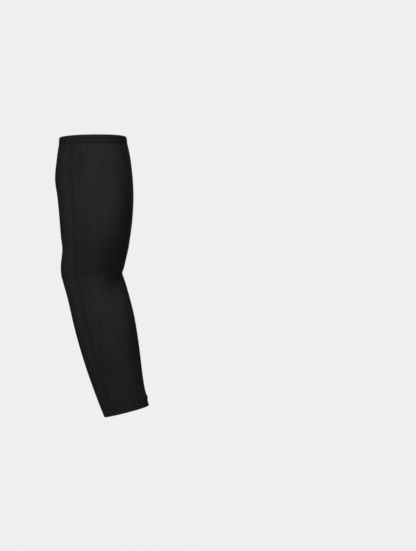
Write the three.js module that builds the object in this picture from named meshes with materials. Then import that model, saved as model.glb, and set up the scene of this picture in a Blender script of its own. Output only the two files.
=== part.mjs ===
// Stretch-knit arm sleeve in the form it takes on a lightly bent arm, hollow and open at both ends.
// Millimetres, +Z up. The origin is the centre of the upper opening. +X is the biceps side,
// -X the elbow side, -Y the outer side of the arm and +Y the inner side.
import * as THREE from "three";

// Lengths along the middle of the arm
const upperLength = 202; // upper rim to the middle of the elbow
const forearmLength = 217; // middle of the elbow to the wrist rim
const elbowTurn = 70; // stretch of the arm over which the middle line bends
const elbowBend = THREE.MathUtils.degToRad(14.6);
const rimTilt = THREE.MathUtils.degToRad(1.2); // the upper rim is a little higher at the biceps side
const rimTiltReach = 35; // length below the rim over which that tilt fades out

// Outside sizes of the sleeve: width is seen from the side, depth from the front
const girths = {
  opening: { width: 101, depth: 98 },
  biceps: { width: 117.6, depth: 102 },
  elbow: { width: 93, depth: 84 },
  forearm: { width: 92.6, depth: 88 },
  wrist: { width: 70, depth: 58 },
};

// Fabric, hems and seams
const knitWall = 1.2;
const hemWall = 2.2; // the knit folded double
const hemFold = 0.9; // radius of the folded edge at each rim
// Height of each hem at the biceps and elbow sides and at the outer and inner sides, and how far it draws in
const upperHem = { low: 9, tall: 12.5, inset: 0.9 };
const wristHem = { low: 8, tall: 10, inset: 0.5 };
const seamWidth = 5.6; // flat seam that joins the two panels
const seamWall = 1.9;
const seamProud = 0.15; // how far the seam stands out of the knit
const seamDip = 0.9; // how far the knit dips towards a seam
const seamDipWide = 7; // degrees to each side over which it dips
const sewnGap = 0.3; // clearance between neighbouring pieces

// How full each section is: 2 is an ellipse, more is squarer
const fullness = 2.15;

// Mesh density
const stepsAlong = 17; // in each half of the arm
const closeIn = [0, 2.5, 6]; // extra sections next to a hem, as distances from it
const stepsAround = 40;
const stepsSeam = 2;

// Sections down the arm. at is 0 at the upper rim, 1 at the elbow and 2 at the wrist rim. front and back
// are shares of the named girth's width, outer and inner are shares of its depth.
const sections = [
  { at: 0.0, girth: "opening", front: 0.507, back: 0.501, outer: 0.496, inner: 0.506 },
  { at: 0.06, girth: "opening", front: 0.524, back: 0.508, outer: 0.502, inner: 0.514 },
  { at: 0.15, girth: "biceps", front: 0.481, back: 0.456, outer: 0.484, inner: 0.496 },
  { at: 0.31, girth: "biceps", front: 0.51, back: 0.481, outer: 0.492, inner: 0.5 },
  { at: 0.45, girth: "biceps", front: 0.517, back: 0.45, outer: 0.497, inner: 0.498 },
  { at: 0.6, girth: "biceps", front: 0.503, back: 0.425, outer: 0.494, inner: 0.488 },
  { at: 0.74, girth: "biceps", front: 0.474, back: 0.406, outer: 0.474, inner: 0.466 },
  { at: 0.84, girth: "elbow", front: 0.564, back: 0.491, outer: 0.54, inner: 0.532 },
  { at: 0.94, girth: "elbow", front: 0.51, back: 0.528, outer: 0.497, inner: 0.496 },
  { at: 1.0, girth: "elbow", front: 0.459, back: 0.536, outer: 0.468, inner: 0.474 },
  { at: 1.037, girth: "elbow", front: 0.446, back: 0.525, outer: 0.456, inner: 0.466, crease: true },
  { at: 1.13, girth: "forearm", front: 0.476, back: 0.506, outer: 0.436, inner: 0.45 },
  { at: 1.28, girth: "forearm", front: 0.479, back: 0.515, outer: 0.456, inner: 0.47 },
  { at: 1.42, girth: "forearm", front: 0.463, back: 0.518, outer: 0.452, inner: 0.46 },
  { at: 1.6, girth: "forearm", front: 0.419, back: 0.504, outer: 0.432, inner: 0.434 },
  { at: 1.76, girth: "wrist", front: 0.489, back: 0.631, outer: 0.588, inner: 0.57 },
  { at: 1.87, girth: "wrist", front: 0.454, back: 0.596, outer: 0.546, inner: 0.526 },
  { at: 2.0, girth: "wrist", front: 0.452, back: 0.552, outer: 0.49, inner: 0.48 },
];

// Muscles and hollows that show through the knit. around is degrees from the biceps side towards the inner
// side, slant the degrees it runs round the arm for each whole at, long a share of the half arm, wide in
// degrees, and lift a share of the biceps width.
const reliefs = [
  { name: "shoulderOuter", at: 0.08, around: -74, slant: 0, long: 0.2, wide: 22, lift: -0.016 },
  { name: "bicepsOuter", at: 0.66, around: -52, slant: -40, long: 0.36, wide: 30, lift: 0.042 },
  { name: "bicepsInner", at: 0.62, around: 36, slant: 0, long: 0.34, wide: 26, lift: 0.028 },
  { name: "armSideOuter", at: 0.34, around: -124, slant: 0, long: 0.24, wide: 24, lift: -0.012 },
  { name: "armSideInner", at: 0.26, around: 68, slant: 0, long: 0.3, wide: 26, lift: -0.026 },
  { name: "elbowPitOuter", at: 1.16, around: -52, slant: 0, long: 0.12, wide: 30, lift: -0.052 },
  { name: "elbowRidgeInner", at: 0.98, around: 60, slant: 0, long: 0.14, wide: 28, lift: 0.028 },
  { name: "elbowPitInner", at: 1.17, around: 50, slant: 0, long: 0.1, wide: 28, lift: -0.036 },
  { name: "elbowSideInner", at: 0.95, around: 130, slant: 0, long: 0.11, wide: 22, lift: -0.02 },
  { name: "forearmOuter", at: 1.46, around: -40, slant: 0, long: 0.14, wide: 24, lift: 0.012 },
  { name: "forearmInner", at: 1.52, around: 70, slant: 0, long: 0.22, wide: 38, lift: 0.028 },
  { name: "wristPucker", at: 1.938, around: -6, slant: 0, long: 0.014, wide: 34, lift: 0.011 },
];

// The elbow crease sags to both sides of its deepest place. depth and long are shares of the half arm, around
// and wide are degrees.
const creaseSag = { depth: 0.075, around: 38, wide: 24, long: 0.35 };

// Where the two seams run, as seen from the side: the share of the way from the middle line to the elbow
// side, and the share of the full dip that the knit has there
const seamRun = [
  { at: 0.0, outer: 0.555, inner: 0.32, dip: 0.4 },
  { at: 0.34, outer: 0.54, inner: 0.236, dip: 0.4 },
  { at: 0.56, outer: 0.51, inner: 0.137, dip: 0.4 },
  { at: 0.76, outer: 0.48, inner: 0.07, dip: 0.5 },
  { at: 0.92, outer: 0.473, inner: 0.09, dip: 0.7 },
  { at: 1.05, outer: 0.488, inner: 0.152, dip: 1 },
  { at: 1.25, outer: 0.545, inner: 0.25, dip: 1 },
  { at: 1.55, outer: 0.55, inner: 0.265, dip: 0.8 },
  { at: 1.8, outer: 0.58, inner: 0.35, dip: 0.5 },
  { at: 2.0, outer: 0.585, inner: 0.42, dip: 0.4 },
];

// Value of a table column at a place on the arm, on a smooth curve that may turn sharply at a crease row
function follow(rows, at, valueOf, sharpAtCrease = false) {
  const last = rows.length - 2;
  const i = THREE.MathUtils.clamp(rows.findIndex((row) => row.at > at) - 1, 0, last);
  const k = at >= rows[rows.length - 1].at ? last : i;
  const slope = (n, side) => {
    const stop = n === 0 || n === rows.length - 1 || (sharpAtCrease && rows[n].crease);
    const from = stop && (side > 0 || n === 0) ? n : n - 1;
    const to = stop && (side < 0 || n === rows.length - 1) ? n : n + 1;
    return (valueOf(rows[to]) - valueOf(rows[from])) / (rows[to].at - rows[from].at);
  };
  const span = rows[k + 1].at - rows[k].at;
  const t = (at - rows[k].at) / span;
  const ease = t * t * (3 - 2 * t);
  return (
    valueOf(rows[k]) * (1 - ease) +
    valueOf(rows[k + 1]) * ease +
    slope(k, 1) * span * t * (1 - t) * (1 - t) -
    slope(k + 1, -1) * span * t * t * (1 - t)
  );
}

// Distance from the upper rim along the middle line
const distanceAt = (at) => Math.min(at, 1) * upperLength + Math.max(at - 1, 0) * forearmLength;
const atDistance = (d) => (d < upperLength ? d / upperLength : 1 + (d - upperLength) / forearmLength);
const sleeveLength = upperLength + forearmLength;

// The middle line of the arm: straight, bent round the elbow, straight again
function middle(at) {
  const along = distanceAt(at);
  const bendStart = upperLength - elbowTurn / 2;
  const bendRadius = elbowTurn / elbowBend;
  const turned = THREE.MathUtils.clamp((along - bendStart) / bendRadius, 0, elbowBend);
  const tilted = rimTilt * (1 - THREE.MathUtils.smoothstep(along, 0, rimTiltReach));
  const before = Math.min(along, bendStart);
  const after = Math.max(along - bendStart - elbowTurn, 0);
  return {
    x: bendRadius * (1 - Math.cos(turned)) + after * Math.sin(turned),
    z: -before - bendRadius * Math.sin(turned) - after * Math.cos(turned),
    facing: turned + tilted,
  };
}

const power = (value, exponent) => Math.sign(value) * Math.abs(value) ** exponent;

const angleBetween = (a, b) => THREE.MathUtils.euclideanModulo(a - b + 180, 360) - 180;

// Where a seam's centre lies round the arm
function seamAround(side, at) {
  const share = follow(seamRun, at, (row) => row[side]);
  const turn = Math.acos(-(share ** (fullness / 2)));
  return side === "outer" ? -turn : turn;
}

// How far muscles and hollows lift the knit at one place, and how far it dips towards the seams
function reliefAt(at, around) {
  const degrees = THREE.MathUtils.radToDeg(around);
  const muscles = reliefs.reduce((sum, { at: centre, around: facing, slant, long, wide, lift }) => {
    const across = angleBetween(degrees, facing + slant * (at - centre));
    return sum + lift * girths.biceps.width * Math.exp(-(((at - centre) / long) ** 2) - (across / wide) ** 2);
  }, 0);
  const dips = ["outer", "inner"].reduce((sum, side) => {
    const across = angleBetween(degrees, THREE.MathUtils.radToDeg(seamAround(side, at)));
    const depth = seamDip * follow(seamRun, at, (row) => row.dip);
    return sum + depth * Math.exp(-((across / seamDipWide) ** 2));
  }, 0);
  return muscles - dips;
}

// How much lower the crease at the biceps side lies at a place round the arm
const creaseAt = sections.find((row) => row.crease).at;
function sagAt(at, around) {
  const turned = Math.abs(angleBetween(THREE.MathUtils.radToDeg(around), 0));
  const across = (turned - creaseSag.around) / creaseSag.wide;
  return creaseSag.depth * Math.exp(-(across ** 2) - ((at - creaseAt) / creaseSag.long) ** 2);
}

// A point of the section's outline at a place on the arm, in the section's own plane
function outline(at, around) {
  const cos = power(Math.cos(around), 2 / fullness);
  const sin = power(Math.sin(around), 2 / fullness);
  const width = (side) => (row) => row[side] * girths[row.girth].width;
  const depth = (side) => (row) => row[side] * girths[row.girth].depth;
  const point = new THREE.Vector2(
    cos *
      (cos > 0
        ? follow(sections, at - sagAt(at, around), width("front"), true)
        : follow(sections, at, width("back"))),
    sin * follow(sections, at, depth(sin > 0 ? "inner" : "outer")),
  );
  return point.setLength(point.length() + reliefAt(at, around));
}

// A point of the sleeve, at a depth under its outer face
function sleevePoint(at, around, depth) {
  const small = 0.01; // radians to each side, for the outline's direction
  const flat = outline(at, around);
  const along = outline(at, around + small).sub(outline(at, around - small)).normalize();
  flat.add(new THREE.Vector2(-along.y, along.x).multiplyScalar(depth));
  const { x, z, facing } = middle(at);
  return new THREE.Vector3(x + flat.x * Math.cos(facing), flat.y, z + flat.x * Math.sin(facing));
}

// The same place moved sideways round the arm by a length
function shifted(at, around, length) {
  const probe = 0.05; // radians over which the outline's length is measured
  const perRadian = outline(at, around).distanceTo(outline(at, around + probe)) / probe;
  return around + length / perRadian;
}

// A closed solid from a row of section loops. A ring joins its last loop to its first, any other solid is
// capped, and a capped loop lists its outer points and then its inner points in the opposite order.
function loftLoops(loops, ring) {
  const points = loops.flat();
  const size = loops[0].length;
  const index = [];
  const quad = (a, b, c, d) => index.push(a, b, c, a, c, d);
  const spans = ring ? loops.length : loops.length - 1;
  for (let i = 0; i < spans; i += 1) {
    const here = i * size;
    const next = ((i + 1) % loops.length) * size;
    for (let j = 0; j < size; j += 1) {
      const k = (j + 1) % size;
      quad(here + j, next + j, next + k, here + k);
    }
  }
  const end = (loops.length - 1) * size;
  for (let j = 0; !ring && j < size / 2 - 1; j += 1) {
    quad(j, j + 1, size - 2 - j, size - 1 - j);
    quad(end + j + 1, end + j, end + size - 1 - j, end + size - 2 - j);
  }
  const geometry = new THREE.BufferGeometry().setFromPoints(points);
  geometry.setIndex(index);
  geometry.computeVertexNormals();
  return geometry;
}

// Height of a hem at a place round the arm
const hemHeight = (hem, around) => THREE.MathUtils.lerp(hem.low, hem.tall, Math.sin(around) ** 2);

// Places down the arm, from hem to hem, that have a section: one at the elbow's crease, more next to a hem
function placesAlong(around) {
  const start = hemHeight(upperHem, around) + sewnGap;
  const end = sleeveLength - hemHeight(wristHem, around) - sewnGap;
  const crease = distanceAt(creaseAt + sagAt(creaseAt, around));
  const spread = (from, to) =>
    Array.from({ length: stepsAlong }, (_, i) => THREE.MathUtils.lerp(from, to, i / stepsAlong));
  const upper = [...closeIn.map((d) => start + d), ...spread(start + 2 * closeIn.at(-1), crease)];
  const lower = [...closeIn.map((d) => end - d), ...spread(end - 2 * closeIn.at(-1), crease)].reverse();
  return [...upper, crease, ...lower].map(atDistance);
}

// A strip of wall that runs down the arm, between two edges given as angles at each place
function strip({ edges, outside, inside, steps }) {
  const loops = placesAlong(Math.PI / 2).map((at, i) => {
    const [from, to] = edges(at);
    const face = (depth) =>
      Array.from({ length: steps + 1 }, (_, j) => {
        const around = THREE.MathUtils.lerp(from, to, j / steps);
        return sleevePoint(placesAlong(around)[i], around, depth);
      });
    return [...face(outside), ...face(inside).reverse()];
  });
  return loftLoops(loops, false);
}

// A knit panel, from one seam round to the other
function panelShape(side) {
  const fullTurn = 2 * Math.PI;
  const clear = seamWidth / 2 + sewnGap;
  const edges = (at) => {
    const outer = seamAround("outer", at);
    const inner = seamAround("inner", at);
    return side === "front"
      ? [shifted(at, outer, clear), shifted(at, inner, -clear)]
      : [shifted(at, inner, clear), shifted(at, outer, -clear) + fullTurn];
  };
  const [from, to] = edges(1);
  const steps = Math.round((stepsAround * (to - from)) / fullTurn);
  return strip({ edges, outside: 0, inside: knitWall, steps });
}

// A flat seam, as a thicker strip that bridges the two panels
function seamShape(side) {
  const edges = (at) => {
    const centre = seamAround(side, at);
    return [shifted(at, centre, -seamWidth / 2), shifted(at, centre, seamWidth / 2)];
  };
  return strip({ edges, outside: -seamProud, inside: seamWall - seamProud, steps: stepsSeam });
}

// A hem: the knit folded over at a rim, as one double wall all the way round
function hemShape(hem, upper) {
  const slant = hemFold * (1 - Math.SQRT1_2);
  const loops = Array.from({ length: stepsAround }, (_, j) => {
    const around = (2 * Math.PI * j) / stepsAround;
    const height = hemHeight(hem, around);
    const profile = [
      [height, 0],
      [hemFold, 0],
      [slant, slant],
      [0, hemFold],
      [0, hemWall - hemFold],
      [slant, hemWall - slant],
      [hemFold, hemWall],
      [height, hemWall],
    ];
    const loop = profile.map(([fromRim, depth]) => {
      const at = atDistance(upper ? fromRim : sleeveLength - fromRim);
      return sleevePoint(at, around, hem.inset + depth);
    });
    return upper ? loop : loop.reverse();
  });
  return loftLoops(loops, true);
}

const knit = new THREE.MeshStandardMaterial({ color: "#1c1c1d", roughness: 0.82, metalness: 0 });
const seamThread = new THREE.MeshStandardMaterial({ color: "#191919", roughness: 0.7, metalness: 0 });

const sleeve = new THREE.Group();
sleeve.name = "arm_sleeve";
const pieces = [
  ["front_panel", panelShape("front"), knit],
  ["elbow_panel", panelShape("elbow"), knit],
  ["outer_seam", seamShape("outer"), seamThread],
  ["inner_seam", seamShape("inner"), seamThread],
  ["upper_hem", hemShape(upperHem, true), knit],
  ["wrist_hem", hemShape(wristHem, false), knit],
];
for (const [name, geometry, material] of pieces) {
  const mesh = new THREE.Mesh(geometry, material);
  mesh.name = name;
  sleeve.add(mesh);
}

export default sleeve;
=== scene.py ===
import math

import bpy
import numpy as np
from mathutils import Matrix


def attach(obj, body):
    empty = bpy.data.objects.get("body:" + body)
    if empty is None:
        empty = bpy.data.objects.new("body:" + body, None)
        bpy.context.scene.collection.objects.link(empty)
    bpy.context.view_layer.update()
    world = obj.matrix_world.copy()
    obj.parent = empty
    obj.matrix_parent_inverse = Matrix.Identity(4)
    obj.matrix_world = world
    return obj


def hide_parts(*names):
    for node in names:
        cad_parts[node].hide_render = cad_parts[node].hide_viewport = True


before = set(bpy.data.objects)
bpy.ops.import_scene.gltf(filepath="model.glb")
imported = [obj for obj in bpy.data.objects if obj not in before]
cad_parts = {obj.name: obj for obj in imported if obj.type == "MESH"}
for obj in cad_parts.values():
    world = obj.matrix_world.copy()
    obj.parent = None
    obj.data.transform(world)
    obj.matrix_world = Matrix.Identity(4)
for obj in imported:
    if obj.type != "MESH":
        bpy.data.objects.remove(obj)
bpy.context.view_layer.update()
print("frame loaded")

millimetre = 0.001  # the scene is in metres, the sleeve's own sizes are in millimetres
innerMiddle = np.array(math.pi / 2)  # the middle of the arm's inner side, in radians from the biceps side

# The arm that the sleeve is shaped on, in millimetres and radians. Each girth is its width, seen from the
# side, and its depth, from the arm's outer to its inner side.
arm = {
    "upperLength": 202,
    "forearmLength": 217,
    "elbowTurn": 70,  # length over which the arm bends
    "elbowBend": math.radians(14.6),
    "rimTilt": math.radians(1.2),  # the upper rim stands a little higher at the biceps side
    "rimTiltReach": 35,  # how far down the tilt goes
    "fullness": 2.15,  # 2 is an ellipse, more is squarer
    "girths": {
        "opening": (101, 98),
        "biceps": (117.6, 102),
        "elbow": (93, 84),
        "forearm": (92.6, 88),
        "wrist": (70, 58),
    },
}
sleeveLength = arm["upperLength"] + arm["forearmLength"]

# Sections down the arm. at is 0 at the upper rim, 1 at the elbow and 2 at the wrist rim. The others are how
# far the knit stands from the middle line: front and back are shares of the girth's width, outer and inner
# of its depth.
sections = [
    dict(at=0.0, girth="opening", front=0.507, back=0.501, outer=0.496, inner=0.506),
    dict(at=0.06, girth="opening", front=0.524, back=0.508, outer=0.502, inner=0.514),
    dict(at=0.15, girth="biceps", front=0.481, back=0.456, outer=0.484, inner=0.496),
    dict(at=0.31, girth="biceps", front=0.51, back=0.481, outer=0.492, inner=0.5),
    dict(at=0.45, girth="biceps", front=0.517, back=0.45, outer=0.497, inner=0.498),
    dict(at=0.6, girth="biceps", front=0.503, back=0.425, outer=0.494, inner=0.488),
    dict(at=0.74, girth="biceps", front=0.474, back=0.406, outer=0.474, inner=0.466),
    dict(at=0.84, girth="elbow", front=0.564, back=0.491, outer=0.54, inner=0.532),
    dict(at=0.94, girth="elbow", front=0.51, back=0.528, outer=0.497, inner=0.496),
    dict(at=1.0, girth="elbow", front=0.459, back=0.536, outer=0.468, inner=0.474),
    dict(at=1.037, girth="elbow", front=0.446, back=0.525, outer=0.456, inner=0.466, crease=True),
    dict(at=1.13, girth="forearm", front=0.476, back=0.506, outer=0.436, inner=0.45),
    dict(at=1.28, girth="forearm", front=0.479, back=0.515, outer=0.456, inner=0.47),
    dict(at=1.42, girth="forearm", front=0.463, back=0.518, outer=0.452, inner=0.46),
    dict(at=1.6, girth="forearm", front=0.419, back=0.504, outer=0.432, inner=0.434),
    dict(at=1.76, girth="wrist", front=0.489, back=0.631, outer=0.588, inner=0.57),
    dict(at=1.87, girth="wrist", front=0.454, back=0.596, outer=0.546, inner=0.526),
    dict(at=2.0, girth="wrist", front=0.452, back=0.552, outer=0.49, inner=0.48),
]

# Muscles and hollows under the knit. around and wide are degrees, counted from the biceps side towards the
# inner side. long is measured as at is, and lift is a share of the width at the biceps. slant is how many
# degrees a form moves round the arm for each whole at, as it goes down.
reliefs = [
    dict(name="shoulderOuter", at=0.08, around=-74, slant=0, long=0.2, wide=22, lift=-0.016),
    dict(name="bicepsOuter", at=0.66, around=-52, slant=-40, long=0.36, wide=30, lift=0.042),
    dict(name="bicepsInner", at=0.62, around=36, slant=0, long=0.34, wide=26, lift=0.028),
    dict(name="armSideOuter", at=0.34, around=-124, slant=0, long=0.24, wide=24, lift=-0.012),
    dict(name="armSideInner", at=0.26, around=68, slant=0, long=0.3, wide=26, lift=-0.026),
    dict(name="elbowPitOuter", at=1.16, around=-52, slant=0, long=0.12, wide=30, lift=-0.052),
    dict(name="elbowRidgeInner", at=0.98, around=60, slant=0, long=0.14, wide=28, lift=0.028),
    dict(name="elbowPitInner", at=1.17, around=50, slant=0, long=0.1, wide=28, lift=-0.036),
    dict(name="elbowSideInner", at=0.95, around=130, slant=0, long=0.11, wide=22, lift=-0.02),
    dict(name="forearmOuter", at=1.46, around=-40, slant=0, long=0.14, wide=24, lift=0.012),
    dict(name="forearmInner", at=1.52, around=70, slant=0, long=0.22, wide=38, lift=0.028),
    dict(name="wristPucker", at=1.938, around=-6, slant=0, long=0.014, wide=34, lift=0.011),
]

# The elbow crease sags on both sides, most at around, in degrees from the biceps side. wide is degrees too,
# depth and long are measured as at is.
creaseSag = {"depth": 0.075, "around": 38, "wide": 24, "long": 0.35}

# The knit dips towards a seam on both of its sides. Millimetres and degrees.
seamDip = {"depth": 0.9, "wide": 7}

# Where the seams run, as the share of the way from the middle line to the elbow side, and how much of the
# dip they have there
seamRun = [
    dict(at=0.0, outer=0.555, inner=0.32, dip=0.4),
    dict(at=0.34, outer=0.54, inner=0.236, dip=0.4),
    dict(at=0.56, outer=0.51, inner=0.137, dip=0.4),
    dict(at=0.76, outer=0.48, inner=0.07, dip=0.5),
    dict(at=0.92, outer=0.473, inner=0.09, dip=0.7),
    dict(at=1.05, outer=0.488, inner=0.152, dip=1),
    dict(at=1.25, outer=0.545, inner=0.25, dip=1),
    dict(at=1.55, outer=0.55, inner=0.265, dip=0.8),
    dict(at=1.8, outer=0.58, inner=0.35, dip=0.5),
    dict(at=2.0, outer=0.585, inner=0.42, dip=0.4),
]


# Form of the worn sleeve
def tableCurve(rows, valueOf, sharp=False):
    x = np.array([row["at"] for row in rows])
    y = np.array([valueOf(row) for row in rows], float)
    chord = np.diff(y) / np.diff(x)
    slope = np.concatenate([chord[:1], (y[2:] - y[:-2]) / (x[2:] - x[:-2]), chord[-1:]])
    arrive, leave = slope.copy(), slope.copy()
    for n, row in enumerate(rows):
        if sharp and row.get("crease"):  # the curve turns a corner here
            arrive[n], leave[n] = chord[n - 1], chord[n]
    return x, y, arrive, leave


def readCurve(curve, at):
    x, y, arrive, leave = curve
    i = np.clip(np.searchsorted(x, at, side="right") - 1, 0, len(x) - 2)
    span = x[i + 1] - x[i]
    t = (at - x[i]) / span
    ease = t * t * (3 - 2 * t)
    bend = leave[i] * span * t * (1 - t) ** 2 - arrive[i + 1] * span * t * t * (1 - t)
    return y[i] * (1 - ease) + y[i + 1] * ease + bend


reachCurves = {
    side: tableCurve(sections, lambda row: row[side] * arm["girths"][row["girth"]][across], side == "front")
    for side, across in (("front", 0), ("back", 0), ("outer", 1), ("inner", 1))
}
seamCurves = {column: tableCurve(seamRun, lambda row: row[column]) for column in ("outer", "inner", "dip")}
creaseAt = next(row["at"] for row in sections if row.get("crease"))


def smooth(x, low, high):
    t = np.clip((x - low) / (high - low), 0, 1)
    return t * t * (3 - 2 * t)


def distanceAt(at):
    return np.minimum(at, 1) * arm["upperLength"] + np.maximum(at - 1, 0) * arm["forearmLength"]


def placeAt(distance):
    past = distance - arm["upperLength"]
    return np.where(past < 0, distance / arm["upperLength"], 1 + past / arm["forearmLength"])


def middleLine(at):  # straight, bent round the elbow, straight again
    along = distanceAt(at)
    start = arm["upperLength"] - arm["elbowTurn"] / 2
    radius = arm["elbowTurn"] / arm["elbowBend"]
    turned = np.clip((along - start) / radius, 0, arm["elbowBend"])
    before = np.minimum(along, start)
    after = np.maximum(along - start - arm["elbowTurn"], 0)
    tilted = arm["rimTilt"] * (1 - smooth(along, 0, arm["rimTiltReach"]))
    x = radius * (1 - np.cos(turned)) + after * np.sin(turned)
    z = -before - radius * np.sin(turned) - after * np.cos(turned)
    return x, z, turned + tilted


def seamAround(side, at):
    turn = np.arccos(-(readCurve(seamCurves[side], at) ** (arm["fullness"] / 2)))
    return -turn if side == "outer" else turn


def degreesPast(centre, around):  # the short way round the arm
    return (np.degrees(around) - centre + 180) % 360 - 180


def liftAt(at, around):
    total = np.zeros(np.broadcast(at, around).shape)
    for r in reliefs:
        across = degreesPast(r["around"] + r["slant"] * (at - r["at"]), around)
        shape = np.exp(-(((at - r["at"]) / r["long"]) ** 2) - (across / r["wide"]) ** 2)
        total += r["lift"] * arm["girths"]["biceps"][0] * shape
    for side in ("outer", "inner"):
        across = degreesPast(np.degrees(seamAround(side, at)), around)
        dip = seamDip["depth"] * readCurve(seamCurves["dip"], at)
        total -= dip * np.exp(-((across / seamDip["wide"]) ** 2))
    return total


def sagAt(at, around):
    fromFront = np.abs(np.degrees(np.arctan2(np.sin(around), np.cos(around))))
    across = (fromFront - creaseSag["around"]) / creaseSag["wide"]
    along = (at - creaseAt) / creaseSag["long"]
    return creaseSag["depth"] * np.exp(-(across**2) - along**2)


def outlineAt(at, around):
    power = 2 / arm["fullness"]
    c, s = np.cos(around), np.sin(around)
    reach = {side: readCurve(curve, at) for side, curve in reachCurves.items()}
    reach["front"] = readCurve(reachCurves["front"], at - sagAt(at, around))
    u = np.sign(c) * np.abs(c) ** power * np.where(c > 0, reach["front"], reach["back"])
    v = np.sign(s) * np.abs(s) ** power * np.where(s > 0, reach["inner"], reach["outer"])
    flat = np.stack(np.broadcast_arrays(u, v), -1)
    length = np.linalg.norm(flat, axis=-1)
    return flat * ((length + liftAt(at, around)) / length)[..., None]


def sleevePoint(at, around, depth=0.0):  # depth is under the outer face of the knit
    nearby = 0.01  # radians to each side, to see which way the outline runs
    flat = outlineAt(at, around)
    along = outlineAt(at, around + nearby) - outlineAt(at, around - nearby)
    along /= np.linalg.norm(along, axis=-1)[..., None]
    inward = np.stack([-along[..., 1], along[..., 0]], -1)
    flat = flat + inward * np.asarray(depth)[..., None]
    x, z, facing = middleLine(at)
    point = [x + flat[..., 0] * np.cos(facing), flat[..., 1], z + flat[..., 0] * np.sin(facing)]
    return np.stack(np.broadcast_arrays(*point), -1)


def shifted(at, around, length):  # the same place moved sideways by a length
    nearby = 0.05  # radians
    step = np.linalg.norm(outlineAt(at, around) - outlineAt(at, around + nearby), axis=-1) / nearby
    return around + length / step


# Mesh making
sharpFrom = math.radians(48)  # edges that turn more than this stay crisp


def addMesh(name, points, faces, material, places=None):
    mesh = bpy.data.meshes.new(name)
    mesh.from_pydata((points * millimetre).tolist(), [], faces)
    mesh.shade_smooth()
    mesh.set_sharp_from_angle(angle=sharpFrom)
    if places is not None:  # the cloth's own flat coordinates, in metres
        corners = np.empty(len(mesh.loops), np.int32)
        mesh.loops.foreach_get("vertex_index", corners)
        flat = (places[corners] * millimetre).ravel()
        mesh.uv_layers.new(name="clothFlat").data.foreach_set("uv", flat)
    mesh.materials.append(material)
    piece = bpy.data.objects.new(name, mesh)
    bpy.context.collection.objects.link(piece)
    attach(piece, "root")
    return piece


def loftLoops(name, loops, material, places, ring=False):
    rows, size = loops.shape[:2]
    i = np.arange(rows if ring else rows - 1)[:, None]
    j = np.arange(size)[None, :]
    here, after = i * size, (i + 1) % rows * size
    k = (j + 1) % size
    faces = np.stack([here + j, after + j, after + k, here + k], -1).reshape(-1, 4).tolist()
    if not ring:  # each end is closed by a row of faces from the wall's outer to its inner side
        last = (rows - 1) * size
        for n in range(size // 2 - 1):
            faces.append([n, n + 1, size - 2 - n, size - 1 - n])
            faces.append([last + n + 1, last + n, last + size - 1 - n, last + size - 2 - n])
    return addMesh(name, loops.reshape(-1, 3), faces, material, places.reshape(-1, 2))


# Stitching: short threads that come out of the knit, lie on it and go in again. Millimetres.
stitching = {
    "sides": 6,  # of a thread
    "points": 6,  # along one stitch
    "sink": 0.3,  # how much deeper its ends lie than its middle
    "thin": 0.12,  # how much thinner its ends are
}
stitchShare = np.linspace(0, 1, stitching["points"])
stitchSink = stitching["sink"] * (2 * stitchShare - 1) ** 4
stitchThin = stitching["thin"] * (2 * stitchShare - 1) ** 2


def threadPath(at, around, depth):  # points on a thread, and the way out of the knit at each
    points = sleevePoint(at, around, depth)
    return points, sleevePoint(at, around, depth - 1) - points


def addThreads(name, paths, outward, thickness, material):
    # paths holds one row of points for each stitch, thickness one value for each point of a stitch
    sides = stitching["sides"]
    along = np.gradient(paths, axis=1)
    along /= np.linalg.norm(along, axis=-1, keepdims=True)
    sideways = np.cross(along, outward)
    sideways /= np.linalg.norm(sideways, axis=-1, keepdims=True)
    up = np.cross(sideways, along)
    turn = np.linspace(0, 2 * math.pi, sides, endpoint=False)
    circle = np.cos(turn)[:, None] * up[:, :, None] + np.sin(turn)[:, None] * sideways[:, :, None]
    points = paths[:, :, None] + circle * np.asarray(thickness)[None, :, None, None] / 2
    stitches, steps = paths.shape[:2]
    s = np.arange(stitches)[:, None, None] * steps * sides
    i = np.arange(steps - 1)[None, :, None] * sides
    j = np.arange(sides)[None, None, :]
    k = (j + 1) % sides
    faces = np.stack([s + i + j, s + i + sides + j, s + i + sides + k, s + i + k], -1)
    faces = faces.reshape(-1, 4)[:, ::-1].tolist()
    for start in range(0, stitches * steps * sides, steps * sides):  # the ends of each thread
        end = start + (steps - 1) * sides
        faces.append(list(range(start, start + sides)))
        faces.append(list(range(end + sides - 1, end - 1, -1)))
    return addMesh(name, points.reshape(-1, 3), faces, material)


# Materials
def linear(code):  # sRGB hex to the linear colour that Blender wants
    parts = [int(code[n : n + 2], 16) / 255 for n in (1, 3, 5)]
    return [c / 12.92 if c <= 0.04045 else ((c + 0.055) / 1.055) ** 2.4 for c in parts] + [1.0]


def addNode(material, kind, settings={}, links={}):
    node = material.node_tree.nodes.new(kind)
    for name, value in settings.items():
        if isinstance(name, str) and hasattr(node, name):
            setattr(node, name, value)
        else:
            node.inputs[name].default_value = value
    for name, source in links.items():
        material.node_tree.links.new(source, node.inputs[name])
    return node


def newMaterial(name):
    material = bpy.data.materials.new(name)
    material.use_nodes = True
    material.node_tree.nodes.clear()
    return material


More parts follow.
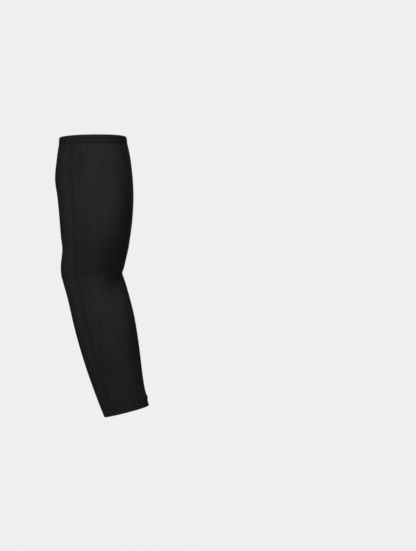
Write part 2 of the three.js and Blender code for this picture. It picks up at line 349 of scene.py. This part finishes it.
# Polyester and elastane warp knit, dyed black: matt and even, so that the worn form shows as soft greys
knitLook = {
    "dark": "#141414",
    "light": "#292929",
    "shades": (0.62, 0.97),  # where the pattern reaches the dark and the light
    "wale": 1.2,  # mm; the real loops are about 0.5 mm apart, too fine to show, so drawn coarser
    "course": 1.0,  # mm, drawn coarser in the same way
    "lean": 1.4,  # how steeply the loops slant, in courses for each wale
    "loopHeight": 0.6,  # against the height of a wale
    "loopPaintedShade": 0.5,  # painted shade: how far the colour darkens where the loops lie low and lightens where they stand high
    "bump": 0.12,  # mm
    "streak": 2.0,  # mm across, darker and lighter wales, four real ones drawn as one so that they show
    "streakLong": 30,  # times as long as across
    "patches": 26,  # in a metre, places where the knit is a little darker or lighter
    "patchShade": 0.25,
    "rough": (0.58, 0.68),
    "shine": 0.4,
}

# The seams' cover stitch: thread lies close over the knit's edges, so the strip is a little duller than
# the knit
seamLook = dict(knitLook, dark="#131313", light="#282828", rough=(0.6, 0.7), shine=0.38)

# The upper hem's doubled knit, coloured darker than the panels
hemLook = dict(knitLook, dark="#111111", light="#222222", rough=(0.6, 0.7), shine=0.35)


def polyesterWarpKnit(name, look):
    m = newMaterial(name)
    flat = addNode(m, "ShaderNodeUVMap", {"uv_map": "clothFlat"})
    xy = addNode(m, "ShaderNodeSeparateXYZ", {}, {0: flat.outputs[0]})
    wale = addNode(
        m, "ShaderNodeMath", {"operation": "DIVIDE", 1: look["wale"] * millimetre}, {0: xy.outputs[0]}
    )
    inWale = addNode(m, "ShaderNodeMath", {"operation": "PINGPONG", 1: 0.5}, {0: wale.outputs[0]})
    course = addNode(
        m, "ShaderNodeMath", {"operation": "DIVIDE", 1: look["course"] * millimetre}, {0: xy.outputs[1]}
    )
    slanted = addNode(
        m,
        "ShaderNodeMath",
        {"operation": "MULTIPLY_ADD", 1: look["lean"]},
        {0: inWale.outputs[0], 2: course.outputs[0]},
    )
    loop = addNode(m, "ShaderNodeMath", {"operation": "PINGPONG", 1: 0.5}, {0: slanted.outputs[0]})
    height = addNode(
        m,
        "ShaderNodeMath",
        {"operation": "MULTIPLY_ADD", 1: look["loopHeight"]},
        {0: loop.outputs[0], 2: inWale.outputs[0]},
    )
    bump = addNode(
        m,
        "ShaderNodeBump",
        {"Strength": 0.5, "Distance": look["bump"] * millimetre},
        {"Height": height.outputs[0]},
    )
    across = 1 / (look["streak"] * millimetre)
    stretched = addNode(
        m, "ShaderNodeMapping", {"Scale": (across, across / look["streakLong"], 1)}, {0: flat.outputs[0]}
    )
    streaks = addNode(
        m,
        "ShaderNodeTexNoise",
        {"Scale": 1.0, "Detail": 3.0, "Roughness": 0.6},
        {"Vector": stretched.outputs[0]},
    )
    patches = addNode(
        m,
        "ShaderNodeTexNoise",
        {"Scale": look["patches"], "Detail": 2.0, "Roughness": 0.5},
        {"Vector": flat.outputs[0]},
    )
    tone = addNode(
        m,
        "ShaderNodeMath",
        {"operation": "MULTIPLY_ADD", 1: look["patchShade"]},
        {0: patches.outputs[0], 2: streaks.outputs[0]},
    )
    # Colour from the random tone plus painted shade on the loops: their low parts get the darker colour
    shade = addNode(
        m,
        "ShaderNodeMath",
        {"operation": "MULTIPLY_ADD", 1: look["loopPaintedShade"]},
        {0: height.outputs[0], 2: tone.outputs[0]},
    )
    ramp = addNode(m, "ShaderNodeValToRGB", {}, {0: shade.outputs[0]})
    for element, position, shadeName in zip(ramp.color_ramp.elements, look["shades"], ("dark", "light")):
        element.position = position
        element.color = linear(look[shadeName])
    rough = addNode(
        m,
        "ShaderNodeMapRange",
        {"To Min": look["rough"][0], "To Max": look["rough"][1]},
        {"Value": streaks.outputs[0]},
    )
    shader = addNode(
        m,
        "ShaderNodeBsdfPrincipled",
        {"IOR": 1.5, "Specular IOR Level": look["shine"]},
        {"Base Color": ramp.outputs[0], "Roughness": rough.outputs[0], "Normal": bump.outputs[0]},
    )
    addNode(m, "ShaderNodeOutputMaterial", {}, {0: shader.outputs[0]})
    return m


# Textured polyester overlock thread, spun from plies: soft, bulky and as dark as the knit, with fine
# slanting turns
threadLook = {
    "dark": "#171717",
    "light": "#232323",
    "twist": 0.5,  # mm from one ply to the next
    "bump": 0.1,  # mm
}
bandRadians = 10  # Blender's diagonal bands turn this far in each unit


def polyesterThread():
    m = newMaterial("texturedPolyesterThread")
    place = addNode(m, "ShaderNodeTexCoord")
    plies = addNode(
        m,
        "ShaderNodeTexWave",
        {
            "bands_direction": "DIAGONAL",
            "Scale": 2 * math.pi / bandRadians / (threadLook["twist"] * millimetre),
            "Distortion": 0.5,
            "Detail": 1.0,
        },
        {"Vector": place.outputs["Object"]},
    )
    # painted shade: the thread is darker in the grooves between its plies and lighter on them
    ramp = addNode(m, "ShaderNodeValToRGB", {}, {0: plies.outputs["Fac"]})
    ramp.color_ramp.elements[0].color = linear(threadLook["dark"])
    ramp.color_ramp.elements[1].color = linear(threadLook["light"])
    bump = addNode(
        m,
        "ShaderNodeBump",
        {"Strength": 0.4, "Distance": threadLook["bump"] * millimetre},
        {"Height": plies.outputs["Fac"]},
    )
    shader = addNode(
        m,
        "ShaderNodeBsdfPrincipled",
        {"IOR": 1.5, "Roughness": 0.62, "Sheen Weight": 0.3, "Sheen Roughness": 0.4},
        {"Base Color": ramp.outputs[0], "Normal": bump.outputs[0]},
    )
    addNode(m, "ShaderNodeOutputMaterial", {}, {0: shader.outputs[0]})
    return m


knit = polyesterWarpKnit("polyesterElastaneWarpKnit", knitLook)
seamKnit = polyesterWarpKnit("coverStitchedWarpKnit", seamLook)
hemKnit = polyesterWarpKnit("doubledWarpKnit", hemLook)
thread = polyesterThread()
print("materials made")

# Hems: the knit folded inwards at each rim and held by two rows of stitches. Millimetres and degrees.
hems = {
    "upper": {
        "low": 9.3,  # height of the band at the biceps and elbow sides
        "tall": 13.2,  # and at the outer and inner sides
        "even": 0.12,  # small where it soon gets tall, large where it does so slowly
        "inset": 0.35,  # how far in the band lies, and the panels beside it
        "steps": 300,  # round the arm
        "rows": (0.9, 6.4),  # of stitches, from the hem's edge towards the rim
        "groove": 0.34,  # how far a row pulls the knit in
        "step": 0.3,  # how far the hem's edge dips at the panels
        "roll": 9,  # length over which the panels bend in to meet it
        "join": -109,  # where the band's own ends meet, from the biceps side
        "cloth": hemKnit,
    },
    "wrist": {
        "low": 8,
        "tall": 10,
        "even": 10,
        "inset": 0.3,
        "steps": 220,
        "rows": (0.9, 5.2),
        "groove": 0.16,
        "step": 0.1,
        "roll": 6,
        "join": -104,
        "cloth": knit,
    },
}


def hemHeight(hem, around):
    turned = np.sin(around) ** 2
    return hem["low"] + (hem["tall"] - hem["low"]) * turned * (1 + hem["even"]) / (turned + hem["even"])


# Panels: one knit wall from seam to seam, its edges rolled in under the hems and seams. Millimetres.
panel = {
    "wall": 1.2,
    "edgeWall": 0.7,
    "edgeFade": 2,  # length over which the wall gets its full thickness
    "columns": 300,  # round the whole arm
    "rows": 116,  # in each half of the arm
    "closeIn": [0, 0.35, 0.7, 1.1, 1.6, 2.2, 3.0, 4.0, 5.2],  # rows close to a hem, from its end
    "hemGap": 0.12,  # between the knit's end and the hem's edge
    "hemBend": 1.3,  # more brings the bend closer to the hem
    "seamTuck": 0.6,  # how deep the knit dips under a seam
    "seamRoll": 2.6,  # length over which it does
    "seamBend": 1.5,  # more brings the bend closer to the seam
    "seamLap": 0.75,  # how far it reaches in under the seam
}

# Flat seams: the two edges of the knit lie side by side under a ladder of cover thread. Millimetres.
seam = {
    "width": 5.6,
    "proud": 0.15,  # how far it stands out
    "edgeDip": 0.12,  # how deep its edges lie
    "squareness": 5,  # more keeps it flat until nearer its edges
    "flange": 0.45,  # wall of the covering edges
    "core": 1.9,  # wall where the knit's edges end
    "coreWidth": 2.9,
    "leastWall": 0.25,
    "columns": 28,
    "middleDip": 0.08,  # where the two edges of the knit meet
    "middleWide": 0.4,
    "needle": 1.9,  # the two rows of needle stitches, from the middle
    "needleDip": 0.18,  # how far they pull the strip in
    "needleWide": 0.36,
    "needleLift": 0.16,  # height of a stitch's middle over the strip
    "needleThread": 0.34,
    "stitch": 2.1,  # from one stitch to the next
    "stitchShare": 0.86,  # of it that the thread takes up
    "margin": 0.6,  # between the stitching and the strip's ends
    "ladderLift": 0.1,
    "ladderThread": 0.3,
    "rungSteps": 4,
}


def rowsAlong(around):  # how far down the arm a panel's rows lie, from hem to hem, one of them in the crease
    start = hemHeight(hems["upper"], around) + panel["hemGap"]
    end = sleeveLength - hemHeight(hems["wrist"], around) - panel["hemGap"]
    crease = distanceAt(creaseAt + sagAt(creaseAt, around))
    close = np.array(panel["closeIn"])
    shares = np.arange(panel["rows"]) / panel["rows"]
    lead = close[-1] + (close[-1] - close[-2])
    column = (slice(None),) + (None,) * np.ndim(around)
    upper = [start + close[column], start + lead + (crease - start - lead) * shares[column]]
    lower = [end - close[column], end - lead + (crease - end + lead) * shares[column]]
    middle = np.full_like(upper[0][:1], 1) * crease
    return np.concatenate(upper + [middle] + [np.concatenate(lower)[::-1]])


def rowsAcross(around):  # the same for angles that differ from row to row
    return np.stack([rowsAlong(angles)[n] for n, angles in enumerate(around)])


def panelLoops(side):
    nominal = placeAt(rowsAlong(innerMiddle))
    outer, inner = seamAround("outer", nominal), seamAround("inner", nominal)
    clear = seam["width"] / 2 - panel["seamLap"]
    if side == "front":
        low, high = shifted(nominal, outer, clear), shifted(nominal, inner, -clear)
    else:
        low, high = shifted(nominal, inner, clear), shifted(nominal, outer, -clear) + 2 * math.pi
    columns = round(panel["columns"] * float(np.mean(high - low)) / (2 * math.pi))
    around = low[:, None] + (high - low)[:, None] * np.linspace(0, 1, columns + 1)
    distance = rowsAcross(around)
    at = placeAt(distance)
    base = sleevePoint(at, around)
    arc = np.cumsum(np.linalg.norm(np.diff(base, axis=1, prepend=base[:, :1]), axis=-1), axis=1)
    fromSeam = np.minimum(arc, arc[:, -1:] - arc)
    fromHem = distance - hemHeight(hems["upper"], around)
    fromWrist = sleeveLength - hemHeight(hems["wrist"], around) - distance
    depth = panel["seamTuck"] * (1 - smooth(fromSeam, 0, panel["seamRoll"])) ** panel["seamBend"]
    for hem, away in ((hems["upper"], fromHem), (hems["wrist"], fromWrist)):
        depth += hem["inset"] * (1 - smooth(away, 0, hem["roll"])) ** panel["hemBend"]
    nearEdge = np.minimum(np.minimum(fromHem, fromWrist), fromSeam)
    full = smooth(nearEdge, 0, panel["edgeFade"])
    wall = panel["edgeWall"] + (panel["wall"] - panel["edgeWall"]) * full
    face = sleevePoint(at, around, depth)
    back = sleevePoint(at, around, depth + wall)
    places = np.stack([arc - arc[:, [columns // 2]], distance], -1)
    loops = np.concatenate([face, back[:, ::-1]], 1)
    return loops, np.concatenate([places, places[:, ::-1]], 1)


def addPanel(side, node):  # node is the solid that the panel replaces
    loops, places = panelLoops(side)
    piece = loftLoops(node + "_knit", loops, knit, places)
    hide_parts(node)
    return piece


panels = {side: addPanel(side, side + "_panel") for side in ("front", "elbow")}
print("panels made")


def seamProfile(offset):  # depth of the seam's outer face across its width
    edge = np.abs(offset / (seam["width"] / 2)) ** seam["squareness"]
    dome = -seam["proud"] * (1 - edge) + seam["edgeDip"] * edge
    fromNeedle = (np.abs(offset) - seam["needle"]) / seam["needleWide"]
    needles = seam["needleDip"] * np.exp(-(fromNeedle**2))
    return dome + needles + seam["middleDip"] * np.exp(-((offset / seam["middleWide"]) ** 2))


def addSeamStrip(side, node):  # node is the solid that the strip replaces
    nominal = placeAt(rowsAlong(innerMiddle))
    offset = np.linspace(-seam["width"] / 2, seam["width"] / 2, seam["columns"] + 1)
    around = shifted(nominal[:, None], seamAround(side, nominal)[:, None], offset)
    distance = rowsAcross(around)
    at = placeAt(distance)
    outerDepth = np.broadcast_to(seamProfile(offset), around.shape)
    thick = np.where(np.abs(offset) < seam["coreWidth"] / 2, seam["core"], seam["flange"])
    innerDepth = np.maximum(outerDepth + seam["leastWall"], thick - seam["proud"])
    face = sleevePoint(at, around, outerDepth)
    back = sleevePoint(at, around, innerDepth)
    places = np.stack([np.broadcast_to(offset, distance.shape), distance], -1)
    loops = np.concatenate([face, back[:, ::-1]], 1)
    strip = loftLoops(node + "_strip", loops, seamKnit, np.concatenate([places, places[:, ::-1]], 1))
    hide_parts(node)
    return strip


def addSeamThreads(side, node):
    start, end = rowsAlong(innerMiddle)[[0, -1]]
    count = int((end - start) / seam["stitch"])

    def onSeam(distance, offset, lift):
        at = placeAt(distance)
        return threadPath(at, shifted(at, seamAround(side, at), offset), seamProfile(offset) - lift)

    # One thread zigzags between the needle rows
    turns = np.arange(count * 2 + 1)
    along = start + seam["margin"] + turns * (end - start - 2 * seam["margin"]) / (count * 2)
    across = seam["needle"] * np.where(turns % 2, 1, -1)
    fine = np.linspace(0, len(turns) - 1, (len(turns) - 1) * seam["rungSteps"] + 1)
    path, out = onSeam(np.interp(fine, turns, along), np.interp(fine, turns, across), seam["ladderLift"])
    thickness = np.full(len(fine), seam["ladderThread"])
    ladder = addThreads(node + "_ladder", path[None], out[None], thickness, thread)

    # The needle rows are short stitches, one after another
    starts = start + seam["margin"] + np.arange(count) * seam["stitch"]
    rows = np.tile(starts[:, None] + stitchShare * seam["stitch"] * seam["stitchShare"], (2, 1))
    offsets = np.repeat([-seam["needle"], seam["needle"]], count)[:, None]
    path, out = onSeam(rows, offsets, seam["needleLift"] - stitchSink)
    needles = addThreads(node + "_needle_rows", path, out, seam["needleThread"] - stitchThin, thread)
    return [ladder, needles]


seams = {
    side: [addSeamStrip(side, side + "_seam"), *addSeamThreads(side, side + "_seam")]
    for side in ("outer", "inner")
}
print("seams made")

# What both hems' bands have in common. Millimetres.
band = {
    "wall": 2.2,
    "fold": 0.9,  # radius of the folded edge
    "foldPoints": 9,
    "facePoints": 34,
    "insidePoints": 20,
    "grooveWide": 0.55,
    "puff": 0.22,  # how far the knit stands up between the rows
    "edgeRound": 0.7,  # length over which the hem's edge dips
    "tongue": (1.2, 0.3),  # where the turned-in edge ends past the hem's edge, and where it starts
    "tongueDepth": (1.75, 1.55),
    "clothRadius": 48,  # near the upper rim's, for the flat coordinates of both bands
    "lineSteps": 720,  # round the arm, to measure how long the rows are
    "stitch": 2.4,  # from one stitch to the next
    "stitchShare": 0.84,  # of it that the thread takes up
    "needleLift": 0.1,  # height of a stitch's middle over the groove's bottom
    "needleThread": 0.36,
    "joinWide": 2.4,  # between the two short rows that close the band
    "joinEnds": 2.4,  # how much shorter they are than the band is tall
    "joinStitch": 2,
    "joinShare": 0.85,
    "joinLift": 0.25,
}


def downArm(name, fromRim):  # distance down the arm of a place near one of the rims
    return fromRim if name == "upper" else sleeveLength - fromRim


def addHemBand(name, node):  # node is the solid that the band replaces
    hem = hems[name]
    fold, wall = band["fold"], band["wall"]
    bend = np.linspace(0, math.pi, band["foldPoints"])
    rimUp = fold * (1 - np.sin(bend))[1:]
    rimDepth = fold * (1 - np.cos(bend))[1:] * wall / (2 * fold)
    faceShare = np.linspace(1, 0, band["facePoints"])
    turns = np.linspace(0, 2 * math.pi, hem["steps"], endpoint=False)
    first, last = hem["rows"]
    loops, places = [], []
    for angle, height in zip(turns, hemHeight(hem, turns)):
        faceUp = fold + (height - fold) * faceShare
        fromEdge = height - faceUp
        depth = np.zeros_like(faceUp)
        for row in hem["rows"]:
            depth += hem["groove"] * np.exp(-(((fromEdge - row) / band["grooveWide"]) ** 2))
        between = np.clip((fromEdge - first) / (last - first), 0, 1)
        depth -= band["puff"] * np.sin(math.pi * between)
        depth += hem["step"] * (1 - smooth(fromEdge, 0, band["edgeRound"]))
        tongueUp = [height + reach for reach in band["tongue"]]
        tongueDepth = [deep - hem["inset"] for deep in band["tongueDepth"]]
        insideUp = np.linspace(fold, height + band["tongue"][0], band["insidePoints"])[1:]
        up = np.concatenate([tongueUp, faceUp, rimUp, insideUp])
        depths = np.concatenate([tongueDepth, depth, rimDepth, np.full_like(insideUp, wall)])
        distance = downArm(name, up)
        loop = sleevePoint(placeAt(distance), angle, hem["inset"] + depths)
        run = np.stack([np.full_like(up, angle * band["clothRadius"]), distance], -1)
        loops.append(loop if name == "upper" else loop[::-1])
        places.append(run if name == "upper" else run[::-1])
    piece = loftLoops(node + "_band", np.array(loops), hem["cloth"], np.array(places), ring=True)
    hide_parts(node)
    return piece


def addHemThreads(name, node):
    hem = hems[name]
    girth = np.linspace(0, 2 * math.pi, band["lineSteps"] + 1)
    line = sleevePoint(placeAt(downArm(name, hem["low"])), girth)
    arc = np.concatenate([[0], np.cumsum(np.linalg.norm(np.diff(line, axis=0), axis=-1))])
    count = int(arc[-1] / band["stitch"])
    starts = np.arange(count)[:, None] + stitchShare * band["stitchShare"]
    angle = np.interp(starts * arc[-1] / count, arc, girth)
    paths = []
    for row in hem["rows"]:
        at = placeAt(downArm(name, hemHeight(hem, angle) - row))
        depth = hem["groove"] - band["needleLift"] + stitchSink
        paths.append(threadPath(at, angle, hem["inset"] + depth))

    # Two short rows up the band close it where its ends meet
    join = math.radians(hem["join"])
    count = int((hemHeight(hem, join) - band["joinEnds"]) / band["joinStitch"])
    stitches = np.arange(count)[:, None] * band["joinStitch"]
    up = band["fold"] + stitches + stitchShare * band["joinStitch"] * band["joinShare"]
    at = placeAt(downArm(name, up))
    for side in (-0.5, 0.5):
        depth = stitchSink - band["joinLift"]
        paths.append(threadPath(at, shifted(at, join, side * band["joinWide"]), hem["inset"] + depth))
    points, outward = (np.concatenate(part) for part in zip(*paths))
    piece = addThreads(node + "_stitches", points, outward, band["needleThread"] - stitchThin, thread)
    return piece


bands = {name: [addHemBand(name, name + "_hem"), addHemThreads(name, name + "_hem")] for name in hems}
print("hems made")

# Studio: a room of pale seamless paper that shows to the camera alone, and the photograph's framing. Metres.
studio = {
    "scale": 1.51,  # mm of sleeve for each pixel of the photograph
    "distance": 2.0,  # from the camera to the sleeve
    "photoSize": (416, 551),
    "originPixel": (92.7, 137.6),  # where the middle of the upper opening shows
    "sensor": 36,  # mm
    "backdrop": "#efefef",
    "floor": -2.6,
    "ceiling": 4.0,
    "radius": 5.0,
    "cove": 1.5,  # where the paper bends from the floor up the wall
    "coveSteps": 12,
    "sides": 64,
}


def addPaperRoom():
    bend = np.linspace(0, math.pi / 2, studio["coveSteps"])
    straight, cove = studio["radius"] - studio["cove"], studio["cove"]
    reach = straight + cove * np.concatenate([np.sin(bend), np.cos(bend)])
    floor = studio["floor"] + cove * (1 - np.cos(bend))
    ceiling = studio["ceiling"] - cove * (1 - np.sin(bend))
    sides = studio["sides"]
    turn = np.linspace(0, 2 * math.pi, sides, endpoint=False)
    x, y = reach[:, None] * np.cos(turn), reach[:, None] * np.sin(turn)
    z = np.concatenate([floor, ceiling])[:, None] + 0 * turn
    points = np.stack([x, y, z], -1).reshape(-1, 3)
    ring = np.arange(len(reach) - 1)[:, None] * sides
    here = np.arange(sides)[None, :]
    after = (here + 1) % sides
    corners = [ring + here, ring + sides + here, ring + sides + after, ring + after]
    faces = np.stack(corners, -1).reshape(-1, 4).tolist()
    faces.append(list(range(sides)))
    faces.append(list(range(len(points) - 1, len(points) - 1 - sides, -1)))
    mesh = bpy.data.meshes.new("paperRoom")
    mesh.from_pydata(points.tolist(), [], faces)
    mesh.shade_smooth()
    paper = newMaterial("seamlessPaper")
    glow = addNode(paper, "ShaderNodeEmission", {"Color": linear(studio["backdrop"]), "Strength": 1.0})
    addNode(paper, "ShaderNodeOutputMaterial", {}, {0: glow.outputs[0]})
    mesh.materials.append(paper)
    room = bpy.data.objects.new("paperRoom", mesh)
    bpy.context.collection.objects.link(room)
    room.visible_diffuse = False
    room.visible_glossy = False
    room.visible_shadow = False


def addCamera():
    width, height = studio["photoSize"]
    perPixel = studio["scale"] * millimetre
    cameraData = bpy.data.cameras.new("camera")
    camera = bpy.data.objects.new("camera", cameraData)
    bpy.context.collection.objects.link(camera)
    camera.location = (
        (width / 2 - studio["originPixel"][0]) * perPixel,
        -studio["distance"],
        (studio["originPixel"][1] - height / 2) * perPixel,
    )
    camera.rotation_euler = (math.pi / 2, 0, 0)
    cameraData.sensor_width = studio["sensor"]
    cameraData.lens = studio["sensor"] * studio["distance"] / (height * perPixel)
    bpy.context.scene.camera = camera


# Lights: square soft boxes round the sleeve. Metres, degrees and watts.
lights = {
    "room": 0.045,  # strength of the faint light from all round
    "aim": (0, 0, -0.2),
    "away": 2.2,
    "size": 1.2,
    "boxes": [  # azimuth is measured from the camera towards its right
        {"name": "frontBox", "azimuth": 0, "height": 5, "power": 7.8},
        {"name": "leftBox", "azimuth": -70, "height": 5, "power": 5.2},
        {"name": "leftLowBox", "azimuth": -70, "height": -25, "power": 2.6},
        {"name": "leftHighBox", "azimuth": -20, "height": 60, "power": 2.5},
        {"name": "rightBox", "azimuth": 45, "height": 20, "power": 5.5},
        {"name": "topBox", "azimuth": 0, "height": 80, "power": 19},
        {"name": "backBox", "azimuth": 180, "height": 15, "power": 5},
    ],
}


def addLights():
    world = bpy.data.worlds.new("studio")
    world.use_nodes = True
    world.node_tree.nodes["Background"].inputs["Color"].default_value = (1, 1, 1, 1)
    world.node_tree.nodes["Background"].inputs["Strength"].default_value = lights["room"]
    bpy.context.scene.world = world
    for box in lights["boxes"]:
        data = bpy.data.lights.new(box["name"], "AREA")
        data.shape = "SQUARE"
        data.size = lights["size"]
        data.energy = box["power"]
        lamp = bpy.data.objects.new(box["name"], data)
        bpy.context.collection.objects.link(lamp)
        turn, rise = math.radians(box["azimuth"]), math.radians(box["height"])
        out = np.array([math.sin(turn) * math.cos(rise), -math.cos(turn) * math.cos(rise), math.sin(rise)])
        lamp.location = np.array(lights["aim"]) + lights["away"] * out
        lamp.rotation_euler = (math.pi / 2 - rise, 0, turn)
        lamp.visible_camera = False


addCamera()
addPaperRoom()
addLights()
bpy.context.scene.view_settings.view_transform = "Standard"
print("studio made")
